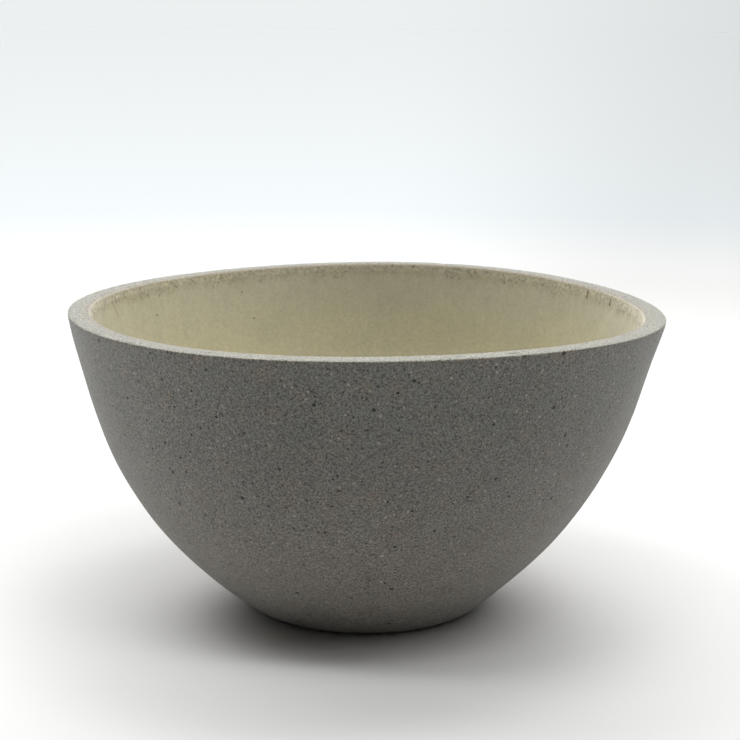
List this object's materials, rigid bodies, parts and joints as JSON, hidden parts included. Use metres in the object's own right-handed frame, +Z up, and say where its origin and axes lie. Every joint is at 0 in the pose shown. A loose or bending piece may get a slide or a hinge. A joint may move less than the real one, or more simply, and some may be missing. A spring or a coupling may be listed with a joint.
{
  "type": "stoneware bowl",
  "caption": "Round hand-made stoneware bowl with a flat base, flared wall, flat bare rim and glazed inside, for serving food or holding small things.",
  "frame": {"origin": "middle of the base, on the surface that the bowl stands on", "axes": "+Z up along the bowl's axis; the bowl is round, so X and Y are any two level directions"},
  "size_m": [0.1494, 0.1494, 0.077],
  "materials": {
    "speckled_clay": "matte, bare, speckled grey stoneware",
    "cream_glaze": "satin cream glaze"
  },
  "bodies": {
    "root": {"clay_body": "speckled_clay", "glaze_lining": "cream_glaze"}
  },
  "joints": []
}
